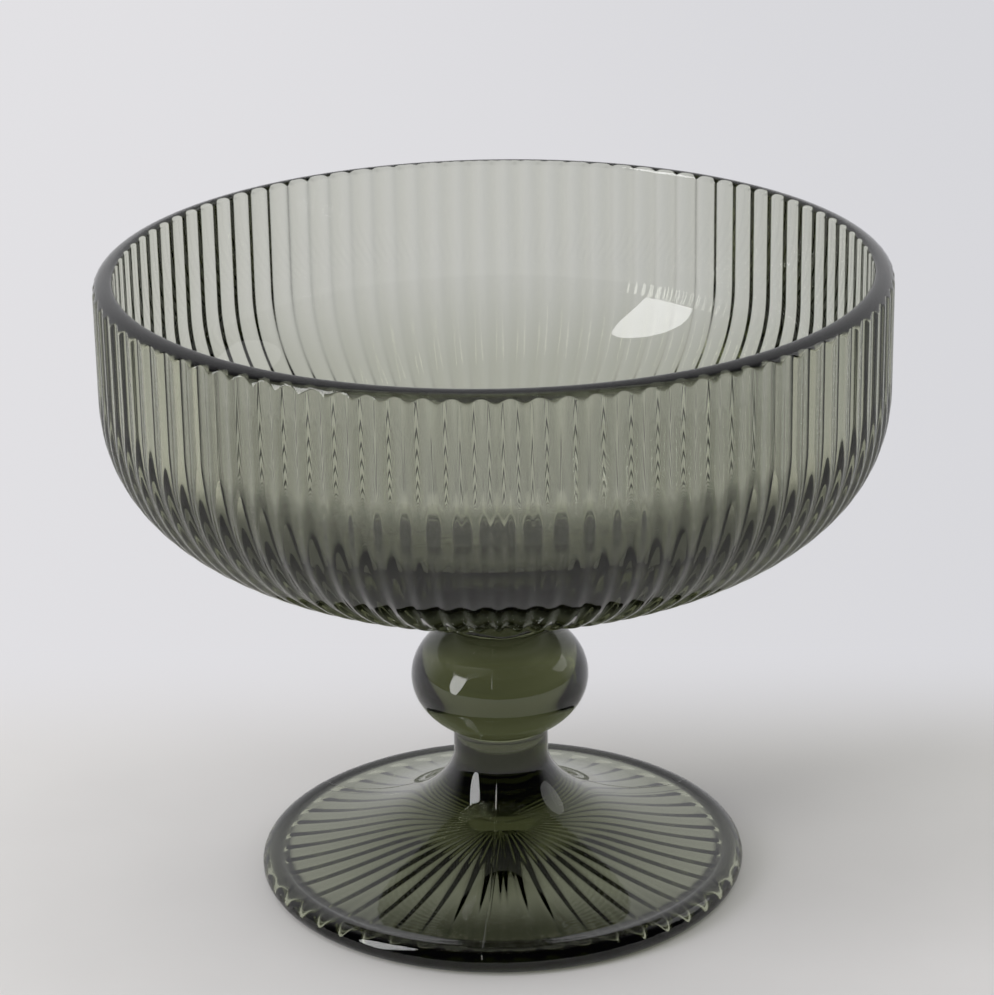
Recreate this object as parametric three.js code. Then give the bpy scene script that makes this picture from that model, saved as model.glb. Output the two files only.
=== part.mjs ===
// Footed glass bowl, pressed in smoky grey-green glass.
// A reeded bowl stands on a ball stem with a round foot. The bowl comes from one mould, the ball,
// neck and foot from another, and a small wafer of hot glass joins the two.
// Millimetres, +Z up. The origin is on the table, under the centre of the foot.

import * as THREE from 'three';

const { Vector2, Vector3, CubicBezierCurve } = THREE;

// Bowl
const RIM_RADIUS = 75;
const BOWL_HEIGHT = 70.2;
const RIM_WALL = 3.9;
const LIP_OUTER_RUN = 2.6;
const LIP_OUTER_RISE = 1.25;
const LIP_INNER_RISE = 0.9;
const STRAIGHT_WALL_HEIGHT = 21.95;
const WALL_CURVE_REACH = 27.86;
const BASE_CURVE_RADIUS = 15;
const BASE_CURVE_REACH = 28.17;
const BASE_CURVE_SLOPE = 0.3;

// Inside of the bowl
const INNER_WALL_HEIGHT = 20.44;
const INNER_WALL_REACH = 22;
const FLOOR_THICKNESS = 9;
const FLOOR_RADIUS = 24;
const FLOOR_CURVE_REACH = 22;
const FLOOR_CURVE_SLOPE = 0.386;

// Knob under the bowl
const KNOB_RADIUS = 11;
const KNOB_HEIGHT = 4.76;
const KNOB_FILLET_REACH = 2;
const KNOB_SIDE_REACH = 1.76;

// Reeds on the outside of the bowl
const REED_COUNT = 96;
const REED_DEPTH = 0.45;
const REED_FADE_RADIUS = 48;

// Joint between ball and bowl
const JOINT_RADIUS = 9;
const WAFER_THICKNESS = 3.08;
const WAFER_BULGE = 1.5;

// Ball and neck
const BALL_RADIUS = 17.4;
const BALL_HALF_HEIGHT = 12.5;
const NECK_RADIUS = 9.3;
const NECK_LENGTH = 5.5;

// Foot
const FOOT_RADIUS = 47.9;
const FOOT_EDGE_HEIGHT = 5.2;
const FOOT_EDGE_ROUND = 2.9;
const FOOT_EDGE_TURN = THREE.MathUtils.degToRad(25);
const REST_RING_WIDTH = 1.6;
const FLARE_RISE = 20.2;
const FLARE_FOOT_REACH = 19;
const FLARE_FOOT_SLOPE = 0.107;
const FLARE_NECK_REACH = 7.85;

// Hollow under the foot
const HOLLOW_WALL_RISE = 0.9;
const HOLLOW_WALL_RUN = 1.4;
const HOLLOW_HEIGHT = 5.5;
const HOLLOW_EDGE_REACH = 16;
const HOLLOW_EDGE_SLOPE = 0.02;
const HOLLOW_TOP_REACH = 18;
const HOLLOW_REED_COUNT = 48;
const HOLLOW_REED_DEPTH = 0.8;
const HOLLOW_REED_INNER_RADIUS = 6;

// Fineness of the faceted surfaces
const COLUMNS_PER_REED = 3;
const STEM_SIDES = 48;
const FOOT_SIDES = 96;

// Heights of the stack, each from the piece below it.
const neckBottom = FOOT_EDGE_HEIGHT + FLARE_RISE;
const neckTop = neckBottom + NECK_LENGTH;
const ballCentre = neckTop + ballHeightAt(NECK_RADIUS);
const jointBottom = ballCentre + ballHeightAt(JOINT_RADIUS);
const jointTop = jointBottom + WAFER_THICKNESS;
const knobTop = jointTop + KNOB_HEIGHT;
const rimTop = jointTop + BOWL_HEIGHT;
const straightWallBottom = rimTop - LIP_OUTER_RISE - STRAIGHT_WALL_HEIGHT;

// Height of the ball's surface over its centre, at a given radius.
function ballHeightAt(radius) {
  return BALL_HALF_HEIGHT * Math.sqrt(1 - (radius / BALL_RADIUS) ** 2);
}

// A station is one step along a surface's outline: where the reeds' crests run there, where the
// grooves between them run, and how many columns go round. Without reeds the two are the same.
function station(columns, crest, groove = crest) {
  return { columns, crest, groove };
}

// Height of a reed's arch across its width: 0 in the groove, 1 on its highest column.
function archHeight(phase) {
  const arch = (at) => at * (1 - at);
  const highest = Math.floor(COLUMNS_PER_REED / 2) / COLUMNS_PER_REED;
  return arch(phase) / arch(highest);
}

// The ring of points that a station makes, starting in a groove on +X.
function ringOf({ columns, crest, groove }) {
  if (columns === 1) return [new Vector3(0, 0, crest.y)];
  const points = [];
  for (let column = 0; column < columns; column += 1) {
    const phase = (column % COLUMNS_PER_REED) / COLUMNS_PER_REED;
    const outline = groove.clone().lerp(crest, archHeight(phase));
    const angle = (2 * Math.PI * column) / columns;
    points.push(new Vector3(outline.x * Math.cos(angle), outline.x * Math.sin(angle), outline.y));
  }
  return points;
}

// Triangles between two neighbouring rings, where one ring may have a multiple of the other's points.
function stitch(triangles, lower, upper) {
  const steps = Math.max(lower.count, upper.count);
  const at = (ring, step) => ring.first + (Math.floor((step * ring.count) / steps) % ring.count);
  for (let step = 0; step < steps; step += 1) {
    const [a, b] = [at(lower, step), at(lower, step + 1)];
    const [c, d] = [at(upper, step), at(upper, step + 1)];
    if (a !== b) triangles.push(a, b, d);
    if (c !== d) triangles.push(a, d, c);
  }
}

// One closed skin through a list of stations that starts and ends on the axis.
function skin(stations) {
  const positions = [];
  const triangles = [];
  let previous = null;
  for (const points of stations.map(ringOf)) {
    const ring = { first: positions.length / 3, count: points.length };
    points.forEach((point) => positions.push(...point.toArray()));
    if (previous) stitch(triangles, previous, ring);
    previous = ring;
  }
  const geometry = new THREE.BufferGeometry();
  geometry.setAttribute('position', new THREE.Float32BufferAttribute(positions, 3));
  geometry.setIndex(triangles);
  geometry.computeVertexNormals();
  return geometry;
}

// Points along an arc of an ellipse, without its first one.
function ellipseArc(centre, radii, from, to, steps) {
  const points = [];
  for (let step = 1; step <= steps; step += 1) {
    const angle = from + ((to - from) * step) / steps;
    points.push(new Vector2(centre.x + radii.x * Math.cos(angle), centre.y + radii.y * Math.sin(angle)));
  }
  return points;
}

// The bowl's outside below its straight wall, from the wall down to the knob, along the crests.
function bowlCurve() {
  const wall = new Vector2(RIM_RADIUS, straightWallBottom);
  const base = new Vector2(BASE_CURVE_RADIUS, knobTop);
  const wallHandle = new Vector2(wall.x, wall.y - WALL_CURVE_REACH);
  const baseHandle = new Vector2(base.x + BASE_CURVE_REACH, base.y + BASE_CURVE_REACH * BASE_CURVE_SLOPE);
  return new CubicBezierCurve(wall, wallHandle, baseHandle, base);
}

// Direction that points out of the glass, square to the bowl's curve.
function bowlCurveNormal(curve, at) {
  const along = curve.getTangent(at);
  return new Vector2(-along.y, along.x);
}

// The knob's side, from its seat on the wafer up into the bowl's curve.
function knobStations() {
  const seat = new Vector2(KNOB_RADIUS, jointTop);
  const top = new Vector2(BASE_CURVE_RADIUS, knobTop);
  const side = new CubicBezierCurve(
    seat,
    new Vector2(seat.x, seat.y + KNOB_SIDE_REACH),
    new Vector2(top.x - KNOB_FILLET_REACH, top.y - KNOB_FILLET_REACH * BASE_CURVE_SLOPE),
    top,
  );
  return side.getPoints(3).map((point) => station(REED_COUNT, point));
}

// The reeded outside, from the knob up the curve to the straight wall. Inside the fade radius a
// reed's depth keeps its share of the reed's width, which narrows towards the knob.
function reededCurveStations() {
  const curve = bowlCurve();
  const steps = 6;
  const stations = [];
  for (let step = steps - 1; step >= 0; step -= 1) {
    const crest = curve.getPoint(step / steps);
    const depth = REED_DEPTH * Math.min(1, crest.x / REED_FADE_RADIUS);
    const groove = crest.clone().addScaledVector(bowlCurveNormal(curve, step / steps), -depth);
    stations.push(station(REED_COUNT * COLUMNS_PER_REED, crest, groove));
  }
  return stations;
}

// The lip. Its outer rounding comes in over the groove floors, which gives each reed a round end.
function lipStations() {
  const grooveRadius = RIM_RADIUS - REED_DEPTH;
  const topRadius = RIM_RADIUS - LIP_OUTER_RUN;
  const reedEnd = Math.acos((grooveRadius - topRadius) / LIP_OUTER_RUN);
  const lipRing = (angle, columns) => {
    const x = topRadius + LIP_OUTER_RUN * Math.cos(angle);
    const y = rimTop - LIP_OUTER_RISE + LIP_OUTER_RISE * Math.sin(angle);
    return station(columns, new Vector2(x, y), new Vector2(Math.min(x, grooveRadius), y));
  };
  const reeded = [0, 0.55, 1].map((share) => lipRing(reedEnd * share, REED_COUNT * COLUMNS_PER_REED));
  const smooth = [0.5, 1].map((share) => {
    return lipRing(reedEnd + (Math.PI / 2 - reedEnd) * share, REED_COUNT);
  });
  const innerCentre = new Vector2(topRadius, rimTop - LIP_INNER_RISE);
  const innerRadii = new Vector2(RIM_WALL - LIP_OUTER_RUN, LIP_INNER_RISE);
  const inner = ellipseArc(innerCentre, innerRadii, Math.PI / 2, Math.PI, 2);
  return [...reeded, ...smooth, ...inner.map((point) => station(REED_COUNT, point))];
}

// The bowl's inside, from its straight wall down to the edge of the flat floor.
function insideCurve() {
  const wall = new Vector2(RIM_RADIUS - RIM_WALL, rimTop - INNER_WALL_HEIGHT);
  const floor = new Vector2(FLOOR_RADIUS, knobTop + FLOOR_THICKNESS);
  const wallHandle = new Vector2(wall.x, wall.y - INNER_WALL_REACH);
  const floorHandle = new Vector2(
    floor.x + FLOOR_CURVE_REACH,
    floor.y + FLOOR_CURVE_REACH * FLOOR_CURVE_SLOPE,
  );
  return new CubicBezierCurve(wall, wallHandle, floorHandle, floor);
}

// The smooth inside, from the wall down its curve and across the floor.
function insideStations() {
  const points = insideCurve().getPoints(8);
  const floor = points[points.length - 1];
  return [
    ...points.map((point) => station(REED_COUNT, point)),
    station(1, new Vector2(0, floor.y)),
  ];
}

// The bowl, turned half a reed so that a crest faces each axis.
function makeBowl() {
  const bowl = skin([
    station(1, new Vector2(0, jointTop)),
    ...knobStations(),
    ...reededCurveStations(),
    ...lipStations(),
    ...insideStations(),
  ]);
  return bowl.rotateZ(Math.PI / REED_COUNT);
}

// The wafer of hot glass, squeezed out round between the two flat faces that it joins.
function makeWafer() {
  const centre = new Vector2(JOINT_RADIUS, (jointBottom + jointTop) / 2);
  const radii = new Vector2(WAFER_BULGE, WAFER_THICKNESS / 2);
  const side = ellipseArc(centre, radii, -Math.PI / 2, Math.PI / 2, 4);
  return skin([
    station(1, new Vector2(0, jointBottom)),
    station(STEM_SIDES, new Vector2(JOINT_RADIUS, jointBottom)),
    ...side.map((point) => station(STEM_SIDES, point)),
    station(1, new Vector2(0, jointTop)),
  ]);
}

// The hollow's ceiling from its centre out to its wall, along the crests of its reeds.
function hollowCurve() {
  const edge = new Vector2(hollowRadius() - HOLLOW_WALL_RUN, HOLLOW_WALL_RISE);
  const edgeHandle = new Vector2(
    edge.x - HOLLOW_EDGE_REACH,
    edge.y + HOLLOW_EDGE_REACH * HOLLOW_EDGE_SLOPE,
  );
  return new CubicBezierCurve(
    new Vector2(0, HOLLOW_HEIGHT),
    new Vector2(HOLLOW_TOP_REACH, HOLLOW_HEIGHT),
    edgeHandle,
    edge,
  );
}

// Radius of the hollow at the table, inside the ring that the foot stands on.
function hollowRadius() {
  return FOOT_RADIUS - FOOT_EDGE_ROUND - REST_RING_WIDTH;
}

// The hollow: a smooth dome in the middle and radial reeds from it out to the wall.
function hollowStations() {
  const curve = hollowCurve();
  const steps = 7;
  const stations = [station(1, curve.getPoint(0))];
  for (let step = 1; step <= steps; step += 1) {
    const crest = curve.getPoint(step / steps);
    const reeded = crest.x > HOLLOW_REED_INNER_RADIUS;
    const depth = reeded ? (HOLLOW_REED_DEPTH * crest.x) / hollowRadius() : 0;
    const groove = new Vector2(crest.x, crest.y + depth);
    const columns = reeded ? HOLLOW_REED_COUNT * COLUMNS_PER_REED : HOLLOW_REED_COUNT;
    stations.push(station(columns, crest, groove));
  }
  return stations;
}

// The foot's edge, from the flat ring that it stands on, round the bead and onto its top.
function footEdgeStations() {
  const centre = new Vector2(FOOT_RADIUS - FOOT_EDGE_ROUND, FOOT_EDGE_HEIGHT / 2);
  const radii = new Vector2(FOOT_EDGE_ROUND, FOOT_EDGE_HEIGHT / 2);
  const bead = ellipseArc(centre, radii, -Math.PI / 2, Math.PI / 2 + FOOT_EDGE_TURN, 7);
  return [
    station(FOOT_SIDES, new Vector2(hollowRadius(), 0)),
    station(FOOT_SIDES, new Vector2(centre.x, 0)),
    ...bead.map((point) => station(FOOT_SIDES, point)),
  ];
}

// The foot's smooth top, sweeping up from the bead into the neck.
function flareStations(beadEnd) {
  const neck = new Vector2(NECK_RADIUS, neckBottom);
  const flare = new CubicBezierCurve(
    beadEnd,
    new Vector2(beadEnd.x - FLARE_FOOT_REACH, beadEnd.y + FLARE_FOOT_REACH * FLARE_FOOT_SLOPE),
    new Vector2(neck.x, neck.y - FLARE_NECK_REACH),
    neck,
  );
  const steps = 10;
  const stations = [];
  for (let step = 1; step <= steps; step += 1) {
    const sides = step < steps / 2 ? FOOT_SIDES : STEM_SIDES;
    stations.push(station(sides, flare.getPoint(step / steps)));
  }
  return stations;
}

// The neck's top crease and the ball above it, up to the flat face of the joint.
function ballStations() {
  const centre = new Vector2(0, ballCentre);
  const radii = new Vector2(BALL_RADIUS, BALL_HALF_HEIGHT);
  const crease = -Math.acos(NECK_RADIUS / BALL_RADIUS);
  const face = Math.acos(JOINT_RADIUS / BALL_RADIUS);
  const side = ellipseArc(centre, radii, crease, face, 11);
  return [
    station(STEM_SIDES, new Vector2(NECK_RADIUS, neckTop)),
    ...side.map((point) => station(STEM_SIDES, point)),
  ];
}

function makeStemAndFoot() {
  const edge = footEdgeStations();
  return skin([
    ...hollowStations(),
    ...edge,
    ...flareStations(edge[edge.length - 1].crest),
    ...ballStations(),
    station(1, new Vector2(0, jointBottom)),
  ]);
}

// Smoky grey-green glass. Each piece has a material of its own.
function glass(name, color) {
  return new THREE.MeshStandardMaterial({
    name,
    color,
    roughness: 0.04,
    metalness: 0,
    transparent: true,
    opacity: 0.6,
  });
}

function piece(name, geometry, color) {
  const mesh = new THREE.Mesh(geometry, glass(name, color));
  mesh.name = name;
  return mesh;
}

const footedBowl = new THREE.Group();
footedBowl.add(
  piece('bowl', makeBowl(), 0x7b8273),
  piece('joining_wafer', makeWafer(), 0x565e4c),
  piece('stem_and_foot', makeStemAndFoot(), 0x4f5745),
);

export default footedBowl;
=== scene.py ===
# Footed bowl in pressed smoky glass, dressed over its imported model.
# Metres, +Z up, the foot stands on z = 0 and -Y points to the viewer.

import math

import bpy
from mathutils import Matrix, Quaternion, Vector


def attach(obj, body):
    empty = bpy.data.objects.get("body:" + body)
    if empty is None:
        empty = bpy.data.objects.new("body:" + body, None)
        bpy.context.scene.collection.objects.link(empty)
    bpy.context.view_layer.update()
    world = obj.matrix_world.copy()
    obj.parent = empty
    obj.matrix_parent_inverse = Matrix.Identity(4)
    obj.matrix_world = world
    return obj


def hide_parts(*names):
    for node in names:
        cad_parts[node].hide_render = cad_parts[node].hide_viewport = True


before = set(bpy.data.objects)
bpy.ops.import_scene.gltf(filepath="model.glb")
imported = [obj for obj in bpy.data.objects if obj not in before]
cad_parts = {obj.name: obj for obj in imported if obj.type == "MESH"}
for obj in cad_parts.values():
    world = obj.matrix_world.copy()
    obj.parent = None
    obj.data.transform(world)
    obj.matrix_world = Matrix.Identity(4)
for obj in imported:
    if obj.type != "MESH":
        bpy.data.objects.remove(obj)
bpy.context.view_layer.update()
mm = 0.001


# Camera. The values come from the outlines of the rim, the wall, the ball and the foot.
camera = {
    "place": (0.0, -0.6231, 0.3175),
    "lookDown": math.radians(21.007),
    "roll": math.radians(0.94),
    "lens": 125.61,
    "sensor": 36.0,
}


def makeCamera():
    data = bpy.data.cameras.new("camera")
    data.sensor_fit = 'HORIZONTAL'
    data.sensor_width = camera["sensor"]
    data.lens = camera["lens"]
    data.clip_start = 0.01
    data.clip_end = 50
    holder = bpy.data.objects.new("camera", data)
    bpy.context.scene.collection.objects.link(holder)
    holder.location = camera["place"]
    holder.rotation_mode = 'QUATERNION'
    ahead = Vector((0, math.cos(camera["lookDown"]), -math.sin(camera["lookDown"])))
    level = ahead.to_track_quat('-Z', 'Y')
    lineOfSight = Vector((0, 0, 1))
    holder.rotation_quaternion = level @ Quaternion(lineOfSight, -camera["roll"])
    bpy.context.scene.camera = holder


makeCamera()
print("camera placed")


class Wire:
    # One socket of a node tree. Sums and products of wires add Math nodes.

    def __init__(self, tree, socket=None):
        self.tree = tree
        self.socket = socket

    def node(self, kind, settings=None, inputs=None, output=0):
        made = self.tree.nodes.new(kind)
        for name, value in (settings or {}).items():
            setattr(made, name, value)
        for name, value in (inputs or {}).items():
            if isinstance(value, Wire):
                self.tree.links.new(value.socket, made.inputs[name])
            else:
                made.inputs[name].default_value = value
        return Wire(self.tree, made.outputs[output]) if len(made.outputs) else made

    def math(self, operation, *values):
        return self.node("ShaderNodeMath", {"operation": operation}, dict(enumerate(values)))

    def __add__(self, other):
        return self.math('ADD', self, other)

    def __radd__(self, other):
        return self.math('ADD', other, self)

    def __sub__(self, other):
        return self.math('SUBTRACT', self, other)

    def __rsub__(self, other):
        return self.math('SUBTRACT', other, self)

    def __mul__(self, other):
        return self.math('MULTIPLY', self, other)

    def __rmul__(self, other):
        return self.math('MULTIPLY', other, self)

    def step(self, low, high, toLow=0.0, toHigh=1.0):
        settings = {"interpolation_type": 'SMOOTHSTEP'}
        values = {"Value": self, "From Min": low, "From Max": high, "To Min": toLow, "To Max": toHigh}
        return self.node("ShaderNodeMapRange", settings, values)

    def most(self, other):
        return self.math('MAXIMUM', self, other)

    def size(self):
        return self.math('ABSOLUTE', self)

    def root(self):
        return self.math('SQRT', self)

    def below(self, limit):
        return self.math('LESS_THAN', self, limit)

    def axes(self):
        # the x, y and z of a vector
        parts = self.node("ShaderNodeSeparateXYZ", {}, {0: self}).socket.node.outputs
        return tuple(Wire(self.tree, parts[i]) for i in range(3))

    def noise(self, scale, detail):
        return self.node("ShaderNodeTexNoise", {}, {"Vector": self, "Scale": scale, "Detail": detail})

    def blend(self, first, second):
        settings = {"data_type": 'RGBA'}
        return self.node("ShaderNodeMix", settings, {0: self, 6: first, 7: second}, output=2)


def lightPath(wires, kind):
    return wires.node("ShaderNodeLightPath", output=kind)


def newMaterial(name):
    material = bpy.data.materials.new(name)
    material.use_nodes = True
    material.node_tree.nodes.clear()
    return material, Wire(material.node_tree)


def tone(red, green, blue):
    # the colour that renders as this 0 to 255 value
    def linear(value):
        share = value / 255
        return share / 12.92 if share <= 0.04045 else ((share + 0.055) / 1.055) ** 2.4
    return (linear(red), linear(green), linear(blue), 1)


def finishMaterial(wires, surface, volume=None):
    inputs = {"Surface": surface}
    if volume:
        inputs["Volume"] = volume
    wires.node("ShaderNodeOutputMaterial", {}, inputs)


# Smoky glass. The volume's colour and density give the grey-green of the thick parts.
glass = {
    "ior": 1.5,
    "smokeColour": (0.24, 0.27, 0.03, 1),
    "smokeDensity": 109.0,
    "roughness": (0.0, 0.03),
    "roughSpan": (0.35, 0.75),
    "waveScale": 55.0,
    "waveDetail": 1.0,
    "waveHeight": 0.01 * mm,
    "rippleScale": 260.0,
    "rippleDetail": 2.0,
    "rippleHeight": 0.002 * mm,
    "jointRadius": 8.99 * mm,
    "jointReach": 0.05 * mm,
    "shadowTint": tone(240, 241, 238),
}


def glassMaterial(name, jointHeights, seams=None):
    material, wires = newMaterial(name)
    place = wires.node("ShaderNodeTexCoord", output="Object")
    x, y, z = place.axes()
    wave = place.noise(glass["waveScale"], glass["waveDetail"])
    ripple = place.noise(glass["rippleScale"], glass["rippleDetail"])
    height = wave * glass["waveHeight"] + ripple * glass["rippleHeight"]
    if seams:
        height = height + seamHeight(x, y, seams)
    normal = wires.node("ShaderNodeBump", {}, {"Height": height, "Distance": 1.0, "Strength": 1.0})
    roughness = ripple.step(*glass["roughSpan"], *glass["roughness"])
    inputs = {
        "Base Color": (1, 1, 1, 1),
        "Roughness": roughness,
        "IOR": glass["ior"],
        "Transmission Weight": 1.0,
        "Normal": normal,
    }
    inputs["Alpha"] = 1 - onJoint(x, y, z, jointHeights)
    shader = wires.node("ShaderNodeBsdfPrincipled", {}, inputs)
    shadow = wires.node("ShaderNodeBsdfTransparent", {}, {"Color": glass["shadowTint"]})
    isShadow = lightPath(wires, "Is Shadow Ray")
    surface = wires.node("ShaderNodeMixShader", {}, {0: isShadow, 1: shader, 2: shadow})
    smoke = {"Color": glass["smokeColour"], "Density": glass["smokeDensity"]}
    volume = wires.node("ShaderNodeVolumeAbsorption", {}, smoke)
    finishMaterial(wires, surface, volume)
    return material


def onJoint(x, y, z, heights):
    # 1 on the round faces where two pieces are fused, which aren't seen in the real glass
    near = None
    for at in heights:
        close = (z - at).size().below(glass["jointReach"])
        near = close if near is None else near.most(close)
    return (x * x + y * y).root().below(glass["jointRadius"]) * near


def seamHeight(x, y, seams):
    # a low ridge along each half plane where two parts of the mould met
    total = None
    for angle in seams["angles"]:
        across = x * -math.sin(angle) + y * math.cos(angle)
        along = x * math.cos(angle) + y * math.sin(angle)
        ridge = across.size().step(0.0, seams["halfWidth"], seams["height"], 0.0)
        ridge = ridge * along.step(0.0, seams["fadeIn"])
        total = ridge if total is None else total + ridge
    return total


def bezier(points, at):
    left = 1 - at
    weights = (left ** 3, 3 * left * left * at, 3 * left * at * at, at ** 3)
    return tuple(sum(w * p[i] for w, p in zip(weights, points)) for i in (0, 1))


def bezierSlope(points, at):
    left = 1 - at
    weights = (3 * left * left, 6 * left * at, 3 * at * at)
    steps = [(b[0] - a[0], b[1] - a[1]) for a, b in zip(points, points[1:])]
    along = [sum(w * s[i] for w, s in zip(weights, steps)) for i in (0, 1)]
    size = math.hypot(*along)
    return along[0] / size, along[1] / size


def ellipse(centre, radii, start, end, steps):
    turns = [start + (end - start) * step / steps for step in range(steps + 1)]
    return [(centre[0] + radii[0] * math.cos(t), centre[1] + radii[1] * math.sin(t)) for t in turns]


def smoothRing(columns, point):
    # the points of a plain round ring, in millimetres
    turns = [2 * math.pi * column / columns for column in range(columns)]
    return [(point[0] * math.cos(t), point[0] * math.sin(t), point[1]) for t in turns]


def reedColumns(reeds):
    # each column's turn, and its share of the way from crest to groove
    columns = []
    for reed in range(reeds["count"]):
        for step in range(reeds["steps"]):
            phase = step / reeds["steps"]
            share = ((1 + math.cos(2 * math.pi * phase)) / 2) ** reeds["fullness"]
            columns.append((2 * math.pi * (reed + phase + reeds["start"]) / reeds["count"], share))
    return columns


def reededRing(reeds, crest, groove):
    # A ring over reeds: the crest's and the groove's place in the outline, in millimetres.
    points = []
    for turn, share in reedColumns(reeds):
        radius = crest[0] + (groove[0] - crest[0]) * share
        height = crest[1] + (groove[1] - crest[1]) * share
        points.append((radius * math.cos(turn), radius * math.sin(turn), height))
    return points


def skin(name, rings):
    # One closed surface through rings. A ring of one point closes it on the axis.
    vertices = []
    faces = []
    previous = None
    for ring in rings:
        first = len(vertices)
        vertices.extend((x * mm, y * mm, z * mm) for x, y, z in ring)
        if previous:
            stitch(faces, previous, (first, len(ring)))
        previous = (first, len(ring))
    mesh = bpy.data.meshes.new(name)
    mesh.from_pydata(vertices, [], faces)
    mesh.validate()
    mesh.polygons.foreach_set("use_smooth", [True] * len(mesh.polygons))
    mesh.update()
    piece = bpy.data.objects.new(name, mesh)
    bpy.context.scene.collection.objects.link(piece)
    return piece


def stitch(faces, lower, upper):
    # faces between two rings, where one may have a multiple of the other's points
    steps = max(lower[1], upper[1])

    def at(ring, step):
        return ring[0] + (step * ring[1] // steps) % ring[1]

    for step in range(steps):
        a, b = at(lower, step), at(lower, step + 1)
        c, d = at(upper, step), at(upper, step + 1)
        corners = [a]
        for corner in (b, d, c):
            if corner not in corners:
                corners.append(corner)
        if len(corners) > 2:
            faces.append(corners)


# Bowl, in millimetres as in its source.
bowl = {
    "rimRadius": 75.0,
    "rimWall": 3.9,
    "rimTop": 125.44,
    "lipOuter": (3.0, 2.4),
    "lipInner": (0.9, 0.9),
    "straightRings": (112, 121),
    "lipSteps": (12, 6, 6),
    "jointTop": 55.24,
    "jointRadius": 9.0,
    "knob": [(11, 55.24), (11, 57), (13, 59.4), (15, 60)],
    "knobSteps": 12,
    "outside": [(75, 102.24), (75, 74.38), (43.17, 68.45), (15, 60)],
    "outsideSteps": 36,
    "inside": [(71.1, 105), (71.1, 83), (46, 77.5), (24, 69)],
    "insideSteps": 40,
    "floorShares": (0.75, 0.5, 0.25),
    "columns": 192,
    "floorColumns": 96,
}
bowlReeds = {
    "count": 96,
    "start": 0.5,
    "steps": 16,
    "depth": 0.6,
    "beginWidth": 2.0,
    "fadeRadius": 48.0,
    "fullness": 1.0,
}


def curveNormal(points, at):
    along = bezierSlope(points, at)
    return -along[1], along[0]


def bowlOutside():
    reeds = bowlReeds
    rings = [smoothRing(bowl["floorColumns"], (bowl["jointRadius"], bowl["jointTop"]))]
    steps = bowl["knobSteps"]
    for step in range(steps + 1):
        rings.append(smoothRing(bowl["columns"], bezier(bowl["knob"], step / steps)))
    steps = bowl["outsideSteps"]
    for step in range(steps - 1, -1, -1):
        at = step / steps
        crest = bezier(bowl["outside"], at)
        normal = curveNormal(bowl["outside"], at)
        begin = min(1, (crest[0] - bowl["knob"][-1][0]) / reeds["beginWidth"])
        depth = reeds["depth"] * min(1, crest[0] / reeds["fadeRadius"]) * begin
        groove = (crest[0] - normal[0] * depth, crest[1] - normal[1] * depth)
        rings.append(reededRing(reeds, crest, groove))
    return rings


def bowlLip():
    reeds = bowlReeds
    grooveRadius = bowl["rimRadius"] - reeds["depth"]
    (wide, high), (innerWide, innerHigh) = bowl["lipOuter"], bowl["lipInner"]
    outer = (bowl["rimRadius"] - wide, bowl["rimTop"] - high)
    inner = (bowl["rimRadius"] - bowl["rimWall"] + innerWide, bowl["rimTop"] - innerHigh)
    roundSteps, topSteps, innerSteps = bowl["lipSteps"]
    rings = []
    for height in bowl["straightRings"]:
        rings.append(reededRing(reeds, (bowl["rimRadius"], height), (grooveRadius, height)))
    end = math.acos((grooveRadius - outer[0]) / wide)
    for x, z in ellipse(outer, (wide, high), 0, end, roundSteps):
        rings.append(lipRing(reeds, x, z, grooveRadius))
    for x, z in ellipse(outer, (wide, high), end, math.pi / 2, topSteps)[1:]:
        rings.append(smoothRing(reeds["count"] * reeds["steps"], (x, z)))
    for x, z in ellipse(inner, (innerWide, innerHigh), math.pi / 2, math.pi, innerSteps)[1:]:
        rings.append(smoothRing(bowl["columns"], (x, z)))
    return rings


def lipRing(reeds, x, z, grooveRadius):
    # each column keeps to its reed's own radius until the lip's rounding comes in over it
    points = []
    for turn, share in reedColumns(reeds):
        own = bowl["rimRadius"] + (grooveRadius - bowl["rimRadius"]) * share
        radius = min(x, own)
        points.append((radius * math.cos(turn), radius * math.sin(turn), z))
    return points


def bowlInside():
    steps = bowl["insideSteps"]
    inside = [bezier(bowl["inside"], step / steps) for step in range(steps + 1)]
    rings = [smoothRing(bowl["columns"], point) for point in inside]
    radius, floor = inside[-1]
    for share in bowl["floorShares"]:
        rings.append(smoothRing(bowl["floorColumns"], (radius * share, floor)))
    rings.append([(0, 0, floor)])
    return rings


def makeBowl():
    bottom = [(0, 0, bowl["jointTop"] + 0.01)]
    rings = [bottom, *bowlOutside(), *bowlLip(), *bowlInside()]
    piece = skin("bowl_glass", rings)
    piece.data.materials.append(glassMaterial("bowl glass", [bowl["jointTop"] * mm]))
    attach(piece, "root")
    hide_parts("bowl")
    return piece


makeBowl()
print("bowl made")


# Wafer of hot glass between ball and bowl.
wafer = {
    "radius": 9.0,
    "bottom": 52.16,
    "top": 55.24,
    "bulge": 1.5,
    "bulgeAt": (0.1, 0.25, 0.4, 0.55, 0.7, 0.85),
    "gap": 0.02,
    "columns": 96,
    "waves": [(3, 0.25, 0.4), (5, 0.18, 2.1), (8, 0.12, 1.0)],
}


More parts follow.
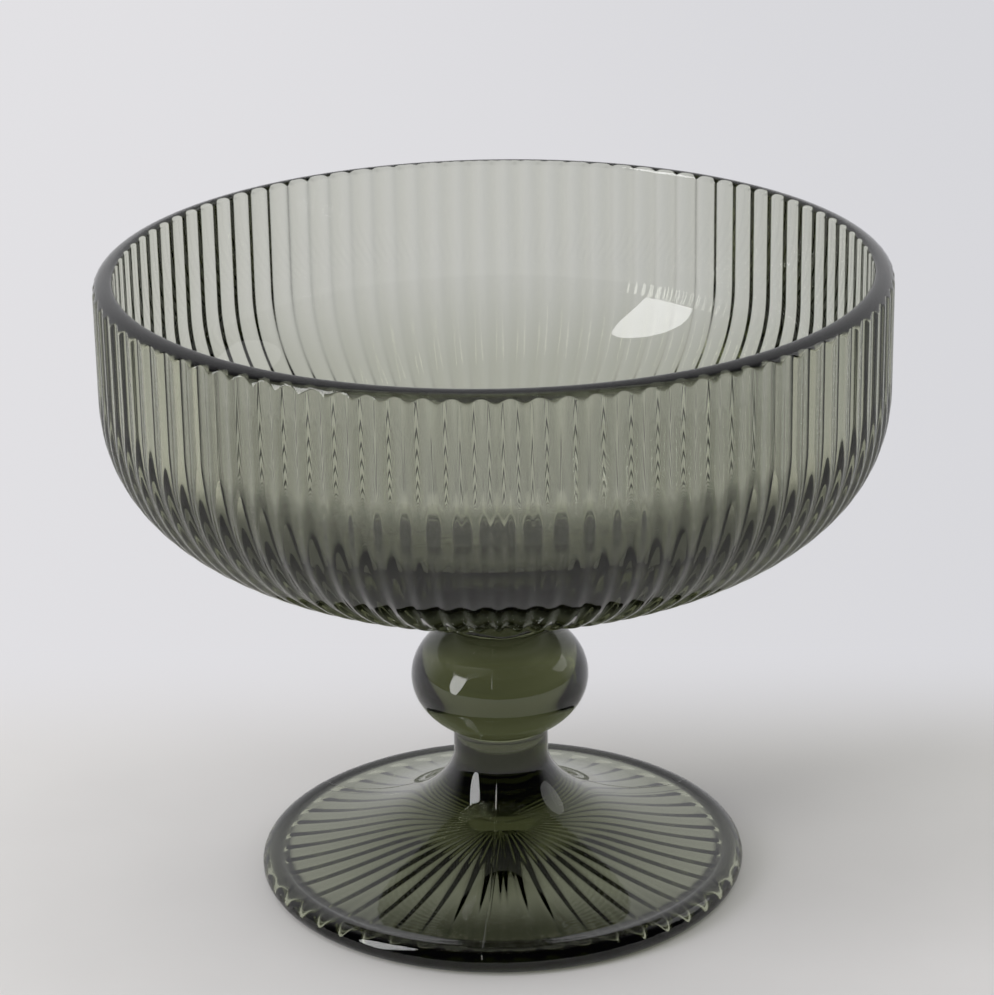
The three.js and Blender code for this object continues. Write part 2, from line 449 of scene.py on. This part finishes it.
def makeWafer():
    low = wafer["bottom"] + wafer["gap"]
    high = wafer["top"] - wafer["gap"]
    columns = wafer["columns"]
    rings = [[(0, 0, low)], smoothRing(columns, (wafer["radius"], low))]
    for share in wafer["bulgeAt"]:
        height = low + (high - low) * share
        bulge = wafer["bulge"] * math.sin(math.pi * share)
        points = []
        for column in range(columns):
            turn = 2 * math.pi * column / columns
            wave = sum(size * math.sin(count * turn + start) for count, size, start in wafer["waves"])
            radius = wafer["radius"] + bulge * (1 + wave)
            points.append((radius * math.cos(turn), radius * math.sin(turn), height))
        rings.append(points)
    rings.append(smoothRing(columns, (wafer["radius"], high)))
    rings.append([(0, 0, high)])
    piece = skin("wafer_glass", rings)
    material = glassMaterial("wafer glass", [wafer["bottom"] * mm, wafer["top"] * mm])
    piece.data.materials.append(material)
    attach(piece, "root")
    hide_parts("joining_wafer")


makeWafer()
print("wafer made")


# Ball, neck and foot, in millimetres as in their source.
stem = {
    "ballCentre": 41.465,
    "ballRadius": 17.4,
    "ballHalfHeight": 12.5,
    "neckRadius": 9.3,
    "neckRings": (27.5, 29.5, 30.6),
    "ballSteps": 44,
    "jointRadius": 9.0,
    "jointBottom": 52.16,
    "columns": 192,
}
foot = {
    "radius": 47.9,
    "edgeHeight": 5.2,
    "edgeRound": 2.9,
    "edgeTurn": math.radians(25),
    "edgeSteps": 26,
    "ringWidth": 0.5,
    "neckBottom": 25.4,
    "flareReach": 19.0,
    "flareSlope": 0.107,
    "neckReach": 7.85,
    "flareSteps": 40,
    "columns": 192,
}
hollow = {
    "slope": 0.13,
    "reedsFrom": 4.0,
    "beginWidth": 2.0,
    "reedsFade": 2.5,
    "coarseTo": 36.0,
    "coarseRings": 30,
    "fineRings": 28,
    "lastGap": 0.15,
    "middleColumns": 96,
}
hollowReeds = {
    "count": 48,
    "start": 0.0,
    "steps": 12,
    "depth": 0.42,
    "fullness": 1.7,
}
seams = {
    "angles": [math.radians(265), math.radians(143), math.radians(34)],
    "halfWidth": 0.25 * mm,
    "height": 0.06 * mm,
    "fadeIn": 1 * mm,
}


def hollowPlaces(first, radius):
    # the rings lie closer together near the edge, where the reeds run out
    middle, last = hollow["coarseTo"], radius - hollow["lastGap"]
    coarse, fine = hollow["coarseRings"], hollow["fineRings"]
    places = [first + (middle - first) * step / coarse for step in range(1, coarse + 1)]
    return places + [middle + (last - middle) * step / fine for step in range(1, fine + 1)]


def hollowRings():
    # grooves between the reeds rise from the low cone of the ceiling and run out at its edge
    radius = foot["radius"] - foot["edgeRound"] - foot["ringWidth"]
    first = hollow["reedsFrom"]
    rings = [[(0, 0, radius * hollow["slope"])]]
    rings.append(smoothRing(hollow["middleColumns"], (first, (radius - first) * hollow["slope"])))
    for at in hollowPlaces(first, radius):
        begin = math.sin(min(1, (at - first) / hollow["beginWidth"]) * math.pi / 2)
        depth = hollowReeds["depth"] * at / radius * begin
        fade = math.sin(min(1, (radius - at) / hollow["reedsFade"]) * math.pi / 2) ** 2
        ceiling = (radius - at) * hollow["slope"]
        points = []
        for turn, share in reedColumns(hollowReeds):
            height = ceiling + depth * share * fade
            points.append((at * math.cos(turn), at * math.sin(turn), height))
        rings.append(points)
    rings.append(smoothRing(hollow["middleColumns"], (radius, 0)))
    return rings


def footRings():
    centre = (foot["radius"] - foot["edgeRound"], foot["edgeHeight"] / 2)
    radii = (foot["edgeRound"], foot["edgeHeight"] / 2)
    top = math.pi / 2 + foot["edgeTurn"]
    edge = ellipse(centre, radii, -math.pi / 2, top, foot["edgeSteps"])
    rings = [smoothRing(foot["columns"], point) for point in edge]
    end = edge[-1]
    rise = foot["flareReach"] * foot["flareSlope"]
    neck = (stem["neckRadius"], foot["neckBottom"])
    curve = [
        end,
        (end[0] - foot["flareReach"], end[1] + rise),
        (neck[0], neck[1] - foot["neckReach"]),
        neck,
    ]
    steps = foot["flareSteps"]
    for step in range(1, steps + 1):
        rings.append(smoothRing(foot["columns"], bezier(curve, step / steps)))
    return rings


def ballRings():
    centre = (0, stem["ballCentre"])
    radii = (stem["ballRadius"], stem["ballHalfHeight"])
    crease = -math.acos(stem["neckRadius"] / stem["ballRadius"])
    face = math.acos(stem["jointRadius"] / stem["ballRadius"])
    outline = [(stem["neckRadius"], height) for height in stem["neckRings"]]
    outline += ellipse(centre, radii, crease, face, stem["ballSteps"])
    return [smoothRing(stem["columns"], point) for point in outline]


def makeStem():
    rings = [*hollowRings(), *footRings(), *ballRings(), [(0, 0, stem["jointBottom"] - 0.01)]]
    piece = skin("stem_and_foot_glass", rings)
    material = glassMaterial("stem glass", [stem["jointBottom"] * mm], seams)
    piece.data.materials.append(material)
    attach(piece, "root")
    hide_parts("stem_and_foot")


makeStem()
print("ball, neck and foot made")


# Floor and what stands behind it.
stage = {
    "reach": 8.0,
    "drop": 0.02 * mm,
    "edge": [(-0.10709, 0.05049), (0.10454, 0.04316)],
    "edgeSpan": (-0.004, 0.06),
    "pool": (0.22, 0.5),
    "floor": tone(228, 226, 224),
    "fleck": tone(226, 224, 222),
    "fleckScale": 30.0,
    "fleckDetail": 3.0,
    "fleckSpan": (0.3, 0.7),
    # painted shade: the backdrop is darker towards the right, away from the window lamp
    "behindLeft": tone(226, 225, 228),
    "behindRight": tone(215, 215, 219),
    "behindSpan": (-0.22, 0.22),
    "behindThrough": (0.12, 0.2),
}
# Painted shade and painted light on the floor round and under the foot, as it shows through the
# glass: a darker ring round the bowl, a fixed glowing tone under the foot that is darker at its
# front, and a near-black painted contact shadow under the foot's resting edge.
footShade = {
    "around": tone(120, 121, 117),
    "aroundSpan": (0.10, 0.18),
    "under": tone(132, 134, 124),
    "underFront": tone(64, 66, 55),
    "frontSpan": (-0.034, -0.012),
    "underSpan": (0.0475, 0.05),
    "contact": tone(22, 22, 20),
    "contactSpan": (0.0415, 0.0432),
    "contactShift": 0.0045,
}


def backdropShare(x, y, away):
    # 0 on the lit floor round the bowl, 1 on the plain backdrop behind it and far from it
    (x0, y0), (x1, y1) = stage["edge"]
    slope = (y1 - y0) / (x1 - x0)
    behind = (y - (x - x0) * slope - y0).step(*stage["edgeSpan"])
    return behind.most(away.step(*stage["pool"]))


# the painted tone under the foot: darker at the front, with a near-black painted contact shadow in a
# ring where the foot rests
def underTone(x, y):
    front = y.step(*footShade["frontSpan"]).blend(footShade["underFront"], footShade["under"])
    ahead = y - footShade["contactShift"]
    rim = (x * x + ahead * ahead).root().step(*footShade["contactSpan"])
    return rim.blend(front, footShade["contact"])


def floorMaterial():
    material, wires = newMaterial("pale floor")
    place = wires.node("ShaderNodeTexCoord", output="Object")
    x, y, z = place.axes()
    away = (x * x + y * y).root()
    through = lightPath(wires, "Is Transmission Ray")
    fleck = place.noise(stage["fleckScale"], stage["fleckDetail"]).step(*stage["fleckSpan"])
    litTone = fleck.blend(stage["fleck"], stage["floor"])
    # painted shade: rays through the glass see the floor darker round the bowl
    around = through * away.step(*footShade["aroundSpan"], 1.0, 0.0)
    litTone = around.blend(litTone, footShade["around"])
    # painted shade on the backdrop, darker towards the right
    behindTone = x.step(*stage["behindSpan"]).blend(stage["behindLeft"], stage["behindRight"])
    seen = lightPath(wires, "Is Camera Ray").most(lightPath(wires, "Is Glossy Ray"))
    seen = seen.most(through * y.step(*stage["behindThrough"]))
    lit = wires.node("ShaderNodeBsdfDiffuse", {}, {"Color": litTone})
    behind = wires.node("ShaderNodeEmission", {}, {"Color": behindTone, "Strength": 1.0})
    backdrop = backdropShare(x, y, away) * seen
    surface = wires.node("ShaderNodeMixShader", {}, {0: backdrop, 1: lit, 2: behind})
    # painted light and shade: under the foot, rays through the glass see a glowing fixed tone instead
    # of the lit floor
    shade = wires.node("ShaderNodeEmission", {}, {"Color": underTone(x, y), "Strength": 1.0})
    under = through * away.step(*footShade["underSpan"], 1.0, 0.0)
    surface = wires.node("ShaderNodeMixShader", {}, {0: under, 1: surface, 2: shade})
    finishMaterial(wires, surface)
    return material


def makeFloor():
    reach = stage["reach"]
    corners = [(-reach, -reach), (reach, -reach), (reach, reach), (-reach, reach)]
    mesh = bpy.data.meshes.new("floor")
    mesh.from_pydata([(x, y, -stage["drop"]) for x, y in corners], [], [(0, 1, 2, 3)])
    mesh.materials.append(floorMaterial())
    floor = bpy.data.objects.new("floor", mesh)
    bpy.context.scene.collection.objects.link(floor)


makeFloor()
print("floor made")


# Lamps: one tall light from the left front, one dimmer from the right. The room is dark in front
# and pale behind and above, and a plain backdrop where it is seen straight.
lamps = {
    "window": {"turn": -150, "rise": 26, "away": 1.3, "size": (0.42, 1.5), "strength": 5.8},
    "side": {"turn": 12, "rise": 30, "away": 1.6, "size": (0.8, 0.8), "strength": 0.8},
}
lampsAim = Vector((0, 0, 0.06))
room = {
    "back": tone(222, 222, 224),
    "front": tone(70, 70, 68),
    "backSpan": (-0.35, 0.6),
    "above": tone(242, 242, 244),
    "aboveSpan": (0.3, 0.9),
    "frontMirrored": tone(40, 40, 44),
    "mirroredSpan": (-0.1, 0.5),
    "backdrop": tone(221, 221, 224),
}


def makeLamp(name, facts):
    light = bpy.data.lights.new(name, 'AREA')
    light.shape = 'ELLIPSE'
    light.size, light.size_y = facts["size"]
    area = light.size * light.size_y
    light.energy = facts["strength"] * area * math.pi
    turn, rise = math.radians(facts["turn"]), math.radians(facts["rise"])
    way = Vector((math.cos(turn) * math.cos(rise), math.sin(turn) * math.cos(rise), math.sin(rise)))
    holder = bpy.data.objects.new(name, light)
    bpy.context.scene.collection.objects.link(holder)
    holder.location = way * facts["away"] + lampsAim
    holder.rotation_mode = 'QUATERNION'
    holder.rotation_quaternion = way.to_track_quat('Z', 'Y')


def makeRoom():
    world = bpy.data.worlds.new("room")
    bpy.context.scene.world = world
    world.use_nodes = True
    world.node_tree.nodes.clear()
    wires = Wire(world.node_tree)
    x, y, z = wires.node("ShaderNodeTexCoord", output="Generated").axes()
    level = y.step(*room["backSpan"]).blend(room["front"], room["back"])
    colour = z.step(*room["aboveSpan"]).blend(level, room["above"])
    dim = y.step(*room["mirroredSpan"]).blend(room["frontMirrored"], room["back"])
    colour = lightPath(wires, "Is Glossy Ray").blend(colour, dim)
    colour = lightPath(wires, "Is Camera Ray").blend(colour, room["backdrop"])
    back = wires.node("ShaderNodeBackground", {}, {"Color": colour, "Strength": 1.0})
    wires.node("ShaderNodeOutputWorld", {}, {"Surface": back})


for lampName, lampFacts in lamps.items():
    makeLamp(lampName, lampFacts)
makeRoom()
print("lamps and room made")

bounces = 24  # the light crosses many faces of the reeds
scene = bpy.context.scene
scene.view_settings.view_transform = 'Standard'
scene.cycles.caustics_refractive = False
scene.cycles.caustics_reflective = False
scene.cycles.max_bounces = bounces
scene.cycles.transmission_bounces = bounces
scene.cycles.transparent_max_bounces = bounces
